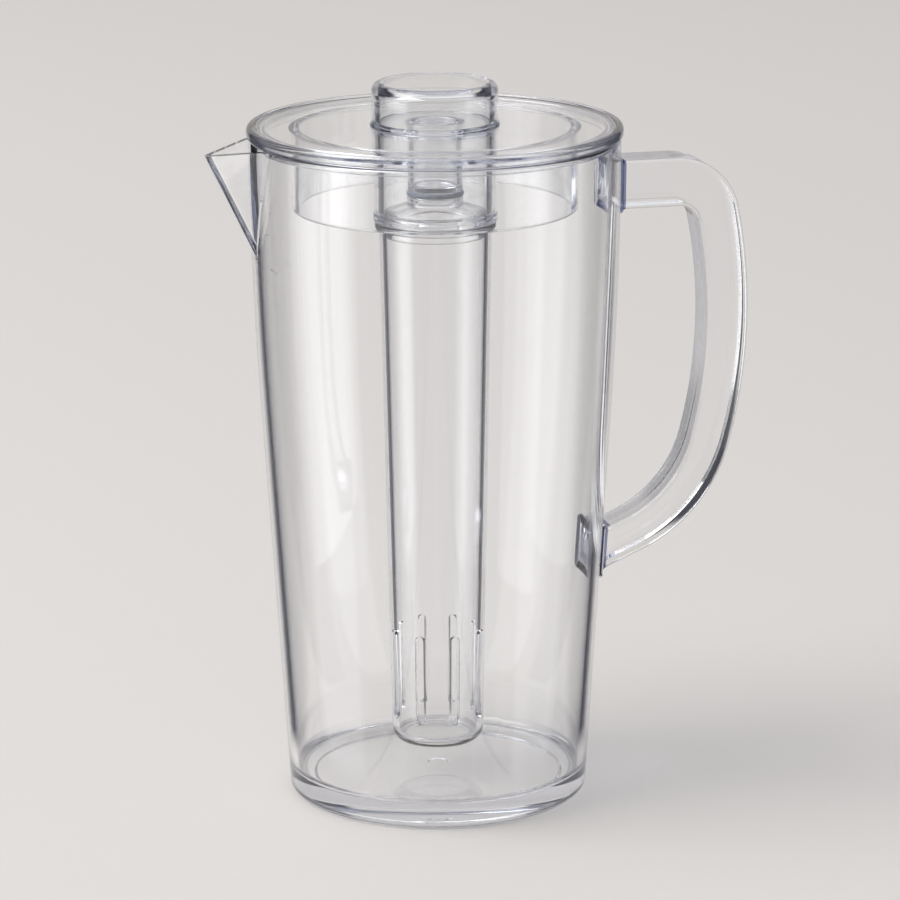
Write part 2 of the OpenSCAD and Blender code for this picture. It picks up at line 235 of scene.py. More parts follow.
SPOUT_REACH = 19
SPOUT_DROP = 40.4
SPOUT_W = 33
SPOUT_DIP = 3.2
SPOUT_T = 2.3
NOSE_R = 3.5
NOSE_STEPS = 12
SPOUT_LOW = JUG_H - SPOUT_DROP
# Where the tool that hollows the spout ends, above the rim
HOLLOW_TOP = JUG_H + 2
# The spout and the handle's pads lie outside this distance from the middle plane
WELDS_FROM = 50


def spout_wedge(r, top):
    """The V of the spout as a solid that leans outward, with a nose of radius r."""
    low_r = wall_r(SPOUT_LOW)
    lean = atan((RIM_R + SPOUT_REACH - low_r) / SPOUT_DROP)
    plan = atan((SPOUT_W / 2 - NOSE_R) / SPOUT_REACH)
    side = atan(tan(plan) / cos(lean))
    run = (SPOUT_REACH + WALL * 2) / cos(plan)
    bm = bmesh.new()
    nose = [pi / 2 + side + (pi - 2 * side) * i / NOSE_STEPS for i in range(NOSE_STEPS + 1)]
    points = [(NOSE_R + r * cos(a), r * sin(a)) for a in nose]
    ends = [(points[-1][0] + run * cos(side), points[-1][1] - run * sin(side)),
            (points[0][0] + run * cos(side), points[0][1] + run * sin(side))]
    verts = [bm.verts.new((x * MM, y * MM, -SPOUT_DROP * MM)) for x, y in points + ends]
    face = bm.faces.new(verts)
    up = bmesh.ops.extrude_face_region(bm, geom=[face])
    bmesh.ops.translate(bm, verts=new_verts(up), vec=(0, 0, SPOUT_DROP * 3 * MM))
    bmesh.ops.rotate(bm, verts=bm.verts, cent=(0, 0, 0), matrix=Matrix.Rotation(-lean, 3, "Y"))
    bmesh.ops.translate(bm, verts=bm.verts, vec=(-low_r * MM, 0, SPOUT_LOW * MM))
    cut_flat(bm, (0, 0, top * MM), (0, 0, 1))
    # It ends short of the jug's axis
    cut_flat(bm, (-1.2 * MM, 0, 0), (1, 0, 0))
    close_up(bm)
    return bm


FOOT_HOLLOW_R, FOOT_HOLLOW_H = 46, 1.4
MOULD_MARK_R, MOULD_MARK_H = 3.4, 0.4


def make_vessel():
    corners = [(0, FOOT_HOLLOW_H, 0), (FOOT_HOLLOW_R, FOOT_HOLLOW_H, 0.7),
               (FOOT_HOLLOW_R + 0.7, 0, 0), (wall_r(0), 0, 3.4)]
    corners += jug_bend(0)
    corners += [(RIM_R, JUG_H, 1), (RIM_R - WALL, JUG_H, 1)]
    corners += jug_bend(WALL)[::-1]
    corners += [(wall_r(BASE) - WALL, BASE, 3.6), (MOULD_MARK_R + MOULD_MARK_H, BASE, 0),
                (MOULD_MARK_R, BASE - MOULD_MARK_H, 0), (0, BASE - MOULD_MARK_H, 0)]
    ob = as_object("jug_vessel", turned(corners, closed=False))
    cut(ob, spout_wedge(NOSE_R - SPOUT_T, HOLLOW_TOP))
    weld_seats(ob)
    return ob


def spout_sides():
    """A point and the normal of each side of the spout's outside."""
    wedge = spout_wedge(NOSE_R, HOLLOW_TOP)
    sides = [(f.calc_center_median(), f.normal.copy()) for f in wedge.faces
             if f.calc_center_median().x < -WALL * MM and abs(f.normal.z) < 0.9]
    wedge.free()
    return sides


def near_spout(c):
    return c.x < -WELDS_FROM * MM and c.z > (SPOUT_LOW - 6) * MM and is_outside(c)


def near_pad(c, z):
    return (c.x > WELDS_FROM * MM and abs(c.z / MM - z) < PAD_H and abs(c.y / MM) < PAD_W
            and is_outside(c))


def weld_seats(ob):
    """Marks where the spout and the handle's two pads are welded to the wall."""
    sides = spout_sides()
    imprint(ob, sides, near_spout)
    pads = (ARM_Z, handle_stations()[1])
    for z in pads:
        edges = [(Vector((0, 0, (z + s * PAD_H / 2) * MM)), Vector((0, 0, 1))) for s in (-1, 1)]
        edges += [(Vector((0, s * PAD_W / 2 * MM, 0)), Vector((0, 1, 0))) for s in (-1, 1)]
        imprint(ob, edges, lambda c: near_pad(c, z))

    def covered(c):
        if c.x < 0:
            return near_spout(c) and all((c - point).dot(normal) < 1e-6 for point, normal in sides)
        return (abs(c.y) < PAD_W / 2 * MM and is_outside(c)
                and any(abs(c.z / MM - z) < PAD_H / 2 for z in pads))

    mark_faces(ob, "bonded", covered)


def make_spout():
    ob = as_object("jug_spout", spout_wedge(NOSE_R, JUG_H))
    cut(ob, spout_wedge(NOSE_R - SPOUT_T, HOLLOW_TOP))
    cut(ob, jug_outside(GAP, JUG_H + 4))
    dip = atan(SPOUT_DIP / SPOUT_REACH)
    bm = bmesh.new()
    bm.from_mesh(ob.data)
    cut_flat(bm, (-RIM_R * MM, 0, JUG_H * MM), (-sin(dip), 0, cos(dip)))
    close_up(bm)
    bm.to_mesh(ob.data)
    bm.free()
    mark_faces(ob, "bonded", lambda c: is_outside(c, 0.06))
    return ob


# Handle

ARM_Z = JUG_H - 20.2
ARM_REACH = 22.55
ARM_W, GRIP_W, HEEL_W, TAIL_W, GRIP_T = 18.2, 16.3, 15.22, 14, 18
GRIP_ROUND = 1.8
PAD_H, PAD_W, PAD_T = 20.6, 21, 1.7
SEAM_T = 3
# Stations along the straight arm, in front of the rim, and along the tail, as shares of its way
ARM_STATIONS = (6, 14, ARM_REACH)
TAIL_STATIONS = (0.3, 0.55)
# Where the bar grows into a pad: distance from the wall, and how much wider the bar is there
FOOT_RINGS = ((PAD_T, 1.6), (2.0, 0.7), (2.8, 0.15), (4, 0))
# The handle's arcs: radius, turn, and depth of the bar at the start and the end
ARCS = ((16, radians(78.5), ARM_W, GRIP_W), (189, radians(26.5), GRIP_W, HEEL_W),
        (52, radians(52), HEEL_W, TAIL_W))
ARC_STEPS = 60
# Steps of the search for the point where the bar meets the wall
SEARCH_STEPS = 12


def handle_stations():
    """Stations of the handle's middle line as (x, z, heading in radians, depth of the bar)."""
    x, z, heading = RIM_R + ARM_REACH, ARM_Z, 0.0
    stations = [(RIM_R + out, z, 0.0, ARM_W) for out in ARM_STATIONS]
    for r, turn, start, end in ARCS:
        cx, cz = x + r * sin(heading), z - r * cos(heading)
        for i in range(1, ARC_STEPS + 1):
            a = heading - turn * i / ARC_STEPS
            x, z = cx - r * sin(a), cz + r * cos(a)
            stations.append((x, z, a, start + (end - start) * i / ARC_STEPS))
        heading -= turn
    run = (x - wall_r(z)) / -cos(heading)
    root = z + run * sin(heading)
    for share in TAIL_STATIONS:
        stations.append((x + run * share * cos(heading), z + run * share * sin(heading),
                         heading, TAIL_W))
    return stations, root, heading


def oblong(w, t, r, n=6):
    """Points of a rounded oblong, w by t, round the origin."""
    points = []
    for q, (sx, sy) in enumerate(((1, 1), (-1, 1), (-1, -1), (1, -1))):
        for i in range(n + 1):
            a = pi / 2 * (q + i / n)
            points.append((sx * (w / 2 - r) + r * cos(a), sy * (t / 2 - r) + r * sin(a)))
    return points


def on_wall(y, z, out):
    """Point on the jug's outside, at a distance from it."""
    return (sqrt((wall_r(z) + out) ** 2 - y * y), y, z)


def pad_ring(z, out, w, t, r):
    """Outline of a pad on the wall, at a distance from it."""
    return [on_wall(q1, z + q0, out) for q0, q1 in oblong(w, t, r)]


def bar_ring(station):
    """Outline of the bar at a station of its middle line."""
    x, z, a, w = station
    return [(x - q0 * sin(a), q1, z + q0 * cos(a)) for q0, q1 in oblong(w, GRIP_T, GRIP_ROUND)]


def root_ring(station, heading, out, grow):
    """Outline of the bar where it comes within a distance of the wall."""
    x, z, a, w = station
    ring = []
    for q0, q1 in oblong(w + grow, GRIP_T + grow, GRIP_ROUND):
        px, pz = x - q0 * sin(a), z + q0 * cos(a)
        for _ in range(SEARCH_STEPS):
            want = sqrt((wall_r(pz) + out) ** 2 - q1 * q1)
            step = (want - px) / cos(heading)
            px, pz = px + step * cos(heading), pz + step * sin(heading)
        ring.append((px, q1, pz))
    return ring


def root_rings(z, station, heading):
    """Rings from the middle of the pad's back, over its edge, to the foot of the bar."""
    rings = [pad_ring(z, GAP, PAD_H * s, PAD_W * s, GRIP_ROUND * s) for s in (0.05, 0.35, 0.7, 1)]
    rings += [pad_ring(z, PAD_T - 0.5, PAD_H, PAD_W, GRIP_ROUND),
              pad_ring(z, PAD_T, PAD_H - 0.8, PAD_W - 0.8, GRIP_ROUND - 0.3)]
    return rings + [root_ring(station, heading, out, grow) for out, grow in FOOT_RINGS]


def make_handle():
    stations, root, heading = handle_stations()
    rings = root_rings(ARM_Z, stations[0], 0.0)
    rings += [bar_ring(s) for s in stations]
    rings += root_rings(root, stations[-1], heading)[::-1]
    bm = bmesh.new()
    verts = [bm.verts.new(Vector(p) * MM) for p in rings[0]]
    edges = [bm.edges.new((a, b)) for a, b in zip(verts, verts[1:] + verts[:1])]
    bmesh.ops.contextual_create(bm, geom=edges)
    for ring in rings[1:]:
        grown = bmesh.ops.extrude_edge_only(bm, edges=edges)
        edges = [g for g in grown["geom"] if isinstance(g, bmesh.types.BMEdge)]
        for v, p in zip(new_verts(grown), ring):
            v.co = Vector(p) * MM
    bmesh.ops.contextual_create(bm, geom=edges)
    close_up(bm)
    ob = as_object("jug_handle", bm)
    mark_faces(ob, "bonded", is_outside)
    mark_faces(ob, "seam", lambda c: is_outside(c, SEAM_T) and not is_outside(c))
    return ob


# Lid

LID_R = 69
SKIRT_R, SKIRT_T = 52.4, 2.2
LIP_OUT, LIP_IN, LIP_LOW = 64.5, 62.7, 245.4
COLLAR_R, COLLAR_NECK_R, COLLAR_BORE = 22.9, 22.3, 19
STEM_HOLE = 10.9

# The bayonet that holds the ice core, with its turns in degrees
LUG_ANGLES = (60, 240)
LUG_TURN = 20
LUG_IN, LUG_OUT, LUG_H = 17.6, 20.2, 1.5
LUG_PLAY = 0.92
TWIST = 40
GROOVE_TURN = 50.9
GROOVE_IN, GROOVE_OUT = 17.8, 20.5
GROOVE_PLAY = 0.3


def sector(r_in, r_out, low, high, start, turn, steps):
    """Ring sector between two radii, with its start and turn in degrees."""
    bm = bmesh.new()
    outline(bm, [(r_in, low, 0), (r_out, low, 0), (r_out, high, 0), (r_in, high, 0)])
    face = bm.faces.new(bm.verts[:])
    bmesh.ops.rotate(
        bm, verts=bm.verts, cent=(0, 0, 0), matrix=Matrix.Rotation(radians(start), 3, "Z"))
    bmesh.ops.spin(
        bm, geom=[face], axis=(0, 0, 1), cent=(0, 0, 0), angle=radians(turn), steps=steps)
    close_up(bm)
    return bm


def make_lid():
    skirt_in = SKIRT_R - SKIRT_T
    corners = [
        (STEM_HOLE, PLATE_LOW, 0), (COLLAR_BORE, PLATE_LOW, 0.5), (COLLAR_BORE, COLLAR_LOW, 0.3),
        (COLLAR_R, COLLAR_LOW, 0.6), (COLLAR_R, 220.1, 0.4), (COLLAR_NECK_R, 220.7, 0.4),
        (COLLAR_NECK_R, PLATE_LOW, 0.6), (skirt_in, PLATE_LOW, 0.6), (skirt_in, SKIRT_LOW, 0.9),
        (SKIRT_R, SKIRT_LOW, 0.9), (SKIRT_R, PLATE_LOW, 1.2), (LIP_IN, PLATE_LOW, 0.3),
        (LIP_IN, LIP_LOW, 0.7), (LIP_OUT, LIP_LOW, 0.7), (LIP_OUT, JUG_H, 0.4), (LID_R, JUG_H, 1.9),
        (LID_R, LID_TOP, 1.9), (65.3, LID_TOP, 0.5), (64.8, PLATE_TOP, 0.4),
        (STEM_HOLE, PLATE_TOP, 0.4)]
    ob = as_object("lid_body", turned(corners))
    low, top = LUG_LOW - GROOVE_PLAY, LUG_LOW + LUG_H + GROOVE_PLAY
    for turn in LUG_ANGLES:
        cut(ob, sector(GROOVE_IN, GROOVE_OUT, low, top, turn - LUG_PLAY, GROOVE_TURN, 20))
        cut(ob, sector(GROOVE_IN, GROOVE_OUT, COLLAR_LOW - 1.2, top, turn + TWIST - LUG_PLAY,
                       LUG_TURN + 2 * LUG_PLAY, 10))
    return ob


# Core

CAP_R, CAP_BORE = 18.7, 15.95
PLUG_R, PLUG_LOW = 18.15, 211.6
FLANGE_R = 22.4
NECK_R, NECK_BORE = 10.3, 8.1


def make_cap():
    corners = [
        (CAP_BORE, PLUG_LOW, 0.4), (PLUG_R, PLUG_LOW, 0.9), (PLUG_R, TUBE_TOP, 0),
        (FLANGE_R, TUBE_TOP, 1), (FLANGE_R, FLANGE_TOP, 1), (CAP_R, FLANGE_TOP, 0.4),
        (CAP_R, CAP_EDGE, 0.9), (NECK_R, NECK_LOW, 0.9), (NECK_R, NECK_TOP, 0.5),
        (NECK_BORE, NECK_TOP, 0.5), (NECK_BORE, 222, 0.5), (CAP_BORE, 219, 2.2)]
    ob = as_object("core_cap_shell", turned(corners))
    for turn in LUG_ANGLES:
        cut(ob, sector(LUG_IN, LUG_OUT, LUG_LOW, LUG_LOW + LUG_H, turn, LUG_TURN, 10), "UNION")
    return ob


TUBE_R, TUBE_FOOT_R, TUBE_WALL = 20.7, 16.95, 2.4
TUBE_FLOOR = TUBE_END + 2.8
SLOTS = 8
SLOT_LOW = TUBE_END + 9.6
SLOT_W, SLOT_H = 3.3, 34.6
FIRST_SLOT = 8.5


def make_tube():
    corners = [
        (0, TUBE_END, 0), (TUBE_FOOT_R, TUBE_END, 5), (TUBE_R, TUBE_TOP, 0),
        (TUBE_R - TUBE_WALL, TUBE_TOP, 0), (TUBE_FOOT_R - TUBE_WALL, TUBE_FLOOR, 2.6),
        (0, TUBE_FLOOR, 0)]
    ob = as_object("core_tube_shell", turned(corners, closed=False))
    cut(ob, slot_cutters())
    return ob


def slot_cutters():
    """Bars with rounded ends that stand round the tube, where its slots go."""
    bm = bmesh.new()
    for i in range(SLOTS):
        verts = [bm.verts.new((10 * MM, y * MM, (SLOT_LOW + SLOT_H / 2 + z) * MM))
                 for z, y in oblong(SLOT_H, SLOT_W, SLOT_W / 2 - 0.001, 8)]
        grown = bmesh.ops.extrude_face_region(bm, geom=[bm.faces.new(verts)])
        outer = new_verts(grown)
        bmesh.ops.translate(bm, verts=outer, vec=(14 * MM, 0, 0))
        bmesh.ops.rotate(bm, verts=verts + outer, cent=(0, 0, 0),
                         matrix=Matrix.Rotation(radians(FIRST_SLOT + 360 / SLOTS * i), 3, "Z"))
    close_up(bm)
    return bm


# Stopper

KNOB_R, KNOB_FOOT_R, KNOB_BORE, KNOB_T = 23.1, 24, 20.4, 2.5
STEM_R, STEM_SHOULDER_R, STEM_BORE = 10, 10.6, 8
SPIGOT_R, SPIGOT_LOW = 7.8, 224.5
DISC_R, DISC_TOP = 20.35, PLATE_TOP + 1.8
SEAL_BORE, SEAL_R = 7.83, 10.6


def make_knob():
    corners = [
        (0, KNOB_TOP - KNOB_T, 0), (KNOB_BORE, KNOB_TOP - KNOB_T, 2.1),
        (KNOB_BORE, PLATE_TOP + GAP, 0.3), (KNOB_FOOT_R, PLATE_TOP + GAP, 0.3),
        (KNOB_R, DISC_TOP, 0.9), (KNOB_R, KNOB_TOP, 3), (0, KNOB_TOP, 0)]
    return as_object("stopper_knob", turned(corners, closed=False))


def make_stem():
    corners = [
        (0, SPIGOT_LOW, 0), (SPIGOT_R, SPIGOT_LOW, 0.8), (SPIGOT_R, STEM_LOW, 0),
        (STEM_R, STEM_LOW, 0.4), (STEM_R, 247.8, 0), (STEM_SHOULDER_R, PLATE_LOW, 0),
        (STEM_SHOULDER_R, PLATE_TOP + GAP, 0), (DISC_R, PLATE_TOP + GAP, 0.3),
        (DISC_R, DISC_TOP, 0.3), (STEM_BORE, DISC_TOP, 0.8), (STEM_BORE, STEM_LOW + 2, 0.8),
        (0, STEM_LOW + 2, 0)]
    return as_object("stopper_stem", turned(corners, closed=False))


def make_seal():
    corners = [
        (SEAL_BORE, NECK_TOP + GAP, 0.2), (SEAL_R, NECK_TOP + GAP, 0.7),
        (SEAL_R, STEM_LOW - GAP, 0.7), (SEAL_BORE, STEM_LOW - GAP, 0.2)]
    return as_object("stopper_seal", turned(corners))


# Finishes

def new_group(name, inputs, outputs):
    """A shader node group with named sockets, given as (name, socket type, value)."""
    tree = bpy.data.node_groups.new(name, "ShaderNodeTree")
    for label, kind, value in inputs:
        socket = tree.interface.new_socket(name=label, in_out="INPUT", socket_type=kind)
        socket.default_value = value
    for label, kind in outputs:
        tree.interface.new_socket(name=label, in_out="OUTPUT", socket_type=kind)
    return tree, tree.nodes.new("NodeGroupInput"), tree.nodes.new("NodeGroupOutput")


def noise(nodes, links, vector, scale, detail):
    node = nodes.new("ShaderNodeTexNoise")
    node.inputs["Detail"].default_value = detail
    links.new(vector, node.inputs["Vector"])
    links.new(scale, node.inputs["Scale"])
    return node.outputs["Fac"]


def stretched(nodes, links, amounts):
    """Object coordinates, stretched so that a pattern runs along the jug's axis."""
    where = nodes.new("ShaderNodeTexCoord")
    mapping = nodes.new("ShaderNodeMapping")
    mapping.inputs["Scale"].default_value = amounts
    links.new(where.outputs["Object"], mapping.inputs["Vector"])
    return mapping.outputs["Vector"]


def ranged(nodes, links, value, low, high):
    """0 up to a low value, 1 from a high one on, smooth between. Low may be the greater."""
    node = nodes.new("ShaderNodeMapRange")
    node.interpolation_type = "SMOOTHSTEP"
    links.new(value, node.inputs["Value"])
    node.inputs["From Min"].default_value = low
    node.inputs["From Max"].default_value = high
    return node.outputs["Result"]


def maths(nodes, links, operation, first, second=0.0):
    node = nodes.new("ShaderNodeMath")
    node.operation = operation
    for socket, value in zip(node.inputs, (first, second)):
        if isinstance(value, (int, float)):
            socket.default_value = value
        else:
            links.new(value, socket)
    return node.outputs[0]


def mixed(nodes, links, factor, first, second):
    node = nodes.new("ShaderNodeMix")
    node.data_type = "RGBA"
    links.new(factor, node.inputs[0])
    for socket, value in ((node.inputs[6], first), (node.inputs[7], second)):
        if isinstance(value, tuple):
            socket.default_value = (*value, 1)
        else:
            links.new(value, socket)
    return node.outputs[2]


def make_surface_group():
    """Moulded face: slow waves left by the mould, and fine marks of handling."""
    tree, given, result = new_group(
        "moulded face",
        [("Wave Scale", "NodeSocketFloat", 40.0), ("Mark Scale", "NodeSocketFloat", 900.0),
         ("Mark Roughness", "NodeSocketFloat", 0.05)],
        [("Height", "NodeSocketFloat"), ("Roughness", "NodeSocketFloat")])
    nodes, links = tree.nodes, tree.links
    along = stretched(nodes, links, (1, 1, 0.35))
    waves = noise(nodes, links, along, given.outputs["Wave Scale"], 1.0)
    up_and_down = stretched(nodes, links, (1, 1, 0.06))
    marks = noise(nodes, links, up_and_down, given.outputs["Mark Scale"], 3.0)
    fine = ranged(nodes, links, marks, 0.62, 0.8)
    dents = maths(nodes, links, "MULTIPLY", fine, 0.02)
    links.new(maths(nodes, links, "ADD", waves, dents), result.inputs["Height"])
    links.new(maths(nodes, links, "MULTIPLY", fine, given.outputs["Mark Roughness"]),
              result.inputs["Roughness"])
    return tree


def make_flow_group():
    """Tint of moulded plastic: faint bands where it flowed into the mould."""
    tree, given, result = new_group(
        "flow tint",
        [("Clear", "NodeSocketColor", (0.98, 0.985, 0.99, 1)),
         ("Band", "NodeSocketColor", (0.95, 0.96, 0.98, 1)),
         ("Band Scale", "NodeSocketFloat", 60.0)],
        [("Color", "NodeSocketColor")])
    nodes, links = tree.nodes, tree.links
    along = stretched(nodes, links, (1, 1, 0.08))
    bands = noise(nodes, links, along, given.outputs["Band Scale"], 2.0)
    factor = ranged(nodes, links, bands, 0.45, 0.75)
    tint = mixed(nodes, links, factor, given.outputs["Clear"], given.outputs["Band"])
    links.new(tint, result.inputs["Color"])
    return tree


def use_group(nodes, tree, **values):
    node = nodes.new("ShaderNodeGroup")
    node.node_tree = tree
    for label, value in values.items():
        node.inputs[label.replace("_", " ")].default_value = value
    return node


def new_material(name):
    material = bpy.data.materials.new(name)
    material.use_nodes = True
    nodes = material.node_tree.nodes
    return material, nodes, material.node_tree.links, nodes["Principled BSDF"]


def bumped(nodes, links, height, distance):
    node = nodes.new("ShaderNodeBump")
    node.inputs["Strength"].default_value = 1
    node.inputs["Distance"].default_value = distance
    links.new(height, node.inputs["Height"])
    return node.outputs["Normal"]


def see_through(nodes, links, factor, surface, colour):
    """Gives way to a plain see-through colour where the factor says so."""
    through = nodes.new("ShaderNodeBsdfTransparent")
    if isinstance(colour, tuple):
        through.inputs["Color"].default_value = (*colour, 1)
    else:
        links.new(colour, through.inputs["Color"])
    mix = nodes.new("ShaderNodeMixShader")
    links.new(factor, mix.inputs["Fac"])
    links.new(surface, mix.inputs[1])
    links.new(through.outputs["BSDF"], mix.inputs[2])
    return mix.outputs["Shader"]


# Painted shade: the dark navy of the seams round the handle's pads.
SEAM_SHADE = (0.05, 0.06, 0.16)
WELD_TINT = (0.95, 0.96, 0.98)
THIN_SHADE = (0.87, 0.875, 0.885)
THICK_SHADE = (0.42, 0.425, 0.44)


def marked(nodes, label):
    """The value that the faces of a piece were marked with."""
    node = nodes.new("ShaderNodeAttribute")
    node.attribute_name = label
    return node.outputs["Fac"]


def painted_edge_shade(nodes, links, facing, edge_shade_from):
    """Mask of the painted edge shade: what is seen edge-on, which is wider on rounded edges."""
    wide = ranged(nodes, links, facing, edge_shade_from, 0.95)
    narrow = ranged(nodes, links, facing, 0.15, 0.75)
    narrow = maths(nodes, links, "MULTIPLY", marked(nodes, "rounding"), narrow)
    return maths(nodes, links, "MAXIMUM", wide, narrow)


def seam_shade_mask(nodes, links, path):
    """Mask of the painted shade on the seams round the handle's pads, which doesn't show through
    the weld.
    """
    outside = maths(nodes, links, "LESS_THAN", path.outputs["Transparent Depth"], 0.5)
    return maths(nodes, links, "MULTIPLY", marked(nodes, "seam"), outside)


def clear_plastic(name, clear, band, edge, depth_tint, density, edge_shade_from=0.62, wave=0.00002):
    """Clear moulded plastic: painted shade darkens it where it is seen edge-on and on the pads'
    seams, and it is blue along its long ways.
    """
    mat, nodes, links, body = new_material(name)
    out = nodes["Material Output"]
    body.inputs["IOR"].default_value = 1.5
    body.inputs["Transmission Weight"].default_value = 1
    flow = use_group(nodes, flow_tint, Clear=(*clear, 1), Band=(*band, 1))
    face = use_group(nodes, moulded_face)
    weight = nodes.new("ShaderNodeLayerWeight")
    weight.inputs["Blend"].default_value = 0.5
    facing = weight.outputs["Facing"]
    path = nodes.new("ShaderNodeLightPath")
    rim = painted_edge_shade(nodes, links, facing, edge_shade_from)
    # Painted shade: edge-on, the base colour turns to the dark edge colour.
    shell = mixed(nodes, links, rim, flow.outputs["Color"], edge)
    # Painted shade on the pads' seams.
    shell = mixed(nodes, links, seam_shade_mask(nodes, links, path), shell, SEAM_SHADE)
    links.new(shell, body.inputs["Base Color"])
    links.new(face.outputs["Roughness"], body.inputs["Roughness"])
    links.new(bumped(nodes, links, face.outputs["Height"], wave), body.inputs["Normal"])
    welded = see_through(nodes, links, marked(nodes, "bonded"), body.outputs["BSDF"], WELD_TINT)
    thick = ranged(nodes, links, facing, 0.45, 0.9)
    shade = mixed(nodes, links, thick, THIN_SHADE, THICK_SHADE)
    lit = see_through(nodes, links, path.outputs["Is Shadow Ray"], welded, shade)
    links.new(lit, out.inputs["Surface"])
    fill = nodes.new("ShaderNodeVolumeAbsorption")
    fill.inputs["Color"].default_value = (*depth_tint, 1)
    fill.inputs["Density"].default_value = density
    links.new(fill.outputs["Volume"], out.inputs["Volume"])
    return mat


def silicone(name, dark, pale):
    """Soft rubber, matt, with fine marks."""
    mat, nodes, links, body = new_material(name)
    flow = use_group(nodes, flow_tint, Clear=(*dark, 1), Band=(*pale, 1), Band_Scale=500.0)
    face = use_group(nodes, moulded_face, Wave_Scale=900.0, Mark_Scale=3000.0, Mark_Roughness=0.2)
    links.new(flow.outputs["Color"], body.inputs["Base Color"])
    links.new(maths(nodes, links, "ADD", face.outputs["Roughness"], 0.35), body.inputs["Roughness"])
    links.new(bumped(nodes, links, face.outputs["Height"], 0.00004), body.inputs["Normal"])
    return mat


# Studio

FLOOR = (0.70, 0.675, 0.65)
# Painted light: the floor is lighter far from the jug, where the key softbox gives it less.
FAR_FLOOR_PAINTED_LIGHT = (0.745, 0.718, 0.691)
BACKDROP = (0.66, 0.635, 0.61)
ROOM_LIGHT = (0.54, 0.54, 0.55)
# What the plastic mirrors: the dim sides of the room, its front, the ceiling and the strips' glow;
# on the floor all but the ceiling are painted reflections
DARK = (0.05, 0.052, 0.066)
PAINTED_FRONT_REFLECTION = (0.66, 0.645, 0.63)
CEILING = (0.85, 0.86, 0.88)
PAINTED_GLOW = (1.3, 1.3, 1.3)

# The camera: its side of the jug, and its place and lens
VIEW_AZIMUTH = radians(-14)
DISTANCE, EYE_HEIGHT = 1.726, 0.571
PAN, PITCH, ROLL = radians(-0.167), radians(90 - 14.34), radians(-0.24)
SENSOR = 36
FRAME_PX, FOCAL_PX = 900, 4795

BOUNCES = 40


def is_mirrored(nodes, links):
    """1 for light that was mirrored on its way, 0 for what is seen straight or through plastic."""
    path = nodes.new("ShaderNodeLightPath")
    return maths(nodes, links, "MINIMUM", path.outputs["Glossy Depth"], 1.0)


def aligned(nodes, links):
    """Object coordinates turned so that Y runs from the photograph's side to behind the jug."""
    where = nodes.new("ShaderNodeTexCoord")
    turn = nodes.new("ShaderNodeMapping")
    turn.inputs["Rotation"].default_value = (0, 0, -VIEW_AZIMUTH)
    links.new(where.outputs["Object"], turn.inputs["Vector"])
    split = nodes.new("ShaderNodeSeparateXYZ")
    links.new(turn.outputs["Vector"], split.inputs["Vector"])
    return split


def beyond(nodes, links, value, edge):
    """How far a value is from zero, past an edge."""
    size = maths(nodes, links, "ABSOLUTE", value)
    return maths(nodes, links, "SUBTRACT", size, edge)


def above_zero(nodes, links, value):
    return maths(nodes, links, "MAXIMUM", value, 0.001)


def below_strips(nodes, links):
    """Mask of the floor below the strip softboxes, where a painted glow carries their highlight to
    the jug's foot in the plastic's gloss.
    """
    split = aligned(nodes, links)
    near = maths(nodes, links, "MULTIPLY", split.outputs["Y"], -1)
    near = maths(nodes, links, "SUBTRACT", near, 0.05)
    aside = above_zero(nodes, links, beyond(nodes, links, split.outputs["X"], 0.03))
    slope = maths(nodes, links, "DIVIDE", near, aside)
    inner = ranged(nodes, links, slope, -0.24, -0.2)
    outer = ranged(nodes, links, slope, 0.62, 0.56)
    return maths(nodes, links, "MULTIPLY", inner, outer)


def round_the_jug(nodes, links, edge):
    """Masks of the lit backdrop behind the jug and of the room in front, and the height."""
    split = aligned(nodes, links)
    aside = beyond(nodes, links, split.outputs["X"], edge)
    slope = maths(nodes, links, "DIVIDE", aside, above_zero(nodes, links, split.outputs["Y"]))
    lit = ranged(nodes, links, slope, 0.55, 0.42)
    front = ranged(nodes, links, slope, 2.5, 6.0)
    return lit, front, split.outputs["Z"]


def from_the_jug(nodes, links):
    """Distance from the jug's axis, on the floor."""
    where = nodes.new("ShaderNodeTexCoord")
    reach = nodes.new("ShaderNodeVectorMath")
    reach.operation = "LENGTH"
    links.new(where.outputs["Object"], reach.inputs[0])
    return reach.outputs["Value"]


def floor_material():
    """Pale floor. Plastic that mirrors it shows painted reflections instead: a dim room at the
    sides, a pale front and a glow below the strips, but the floor itself behind the jug and round
    its foot.
    """
    mat, nodes, links, body = new_material("pale floor")
    body.inputs["Roughness"].default_value = 0.8
    body.inputs["Specular IOR Level"].default_value = 0.2
    lit, front, _ = round_the_jug(nodes, links, 0.06)
    reach = from_the_jug(nodes, links)
    below = ranged(nodes, links, reach, 0.11, 0.08)
    # Painted reflections: the colours that the plastic's gloss shows in the floor's stead.
    sides = mixed(nodes, links, front, DARK, PAINTED_FRONT_REFLECTION)
    sides = mixed(nodes, links, below_strips(nodes, links), sides, PAINTED_GLOW)
    mirrored = mixed(nodes, links, maths(nodes, links, "MAXIMUM", lit, below), sides, FLOOR)
    # Painted light: the floor grows lighter with the distance from the jug.
    plain = mixed(nodes, links, ranged(nodes, links, reach, 0.5, 2.2), FLOOR, FAR_FLOOR_PAINTED_LIGHT)
    colour = mixed(nodes, links, is_mirrored(nodes, links), plain, mirrored)
    links.new(colour, body.inputs["Base Color"])
    return mat


def make_floor():
    """A wide disc, a hair below the foot, so that no two faces share one plane."""
    bm = bmesh.new()
    bmesh.ops.create_circle(
        bm, cap_ends=True, segments=96, radius=8, matrix=Matrix.Translation((0, 0, -0.1 * MM)))
    ob = as_object("studio_floor", bm)
    ob.data.materials.append(floor_material())


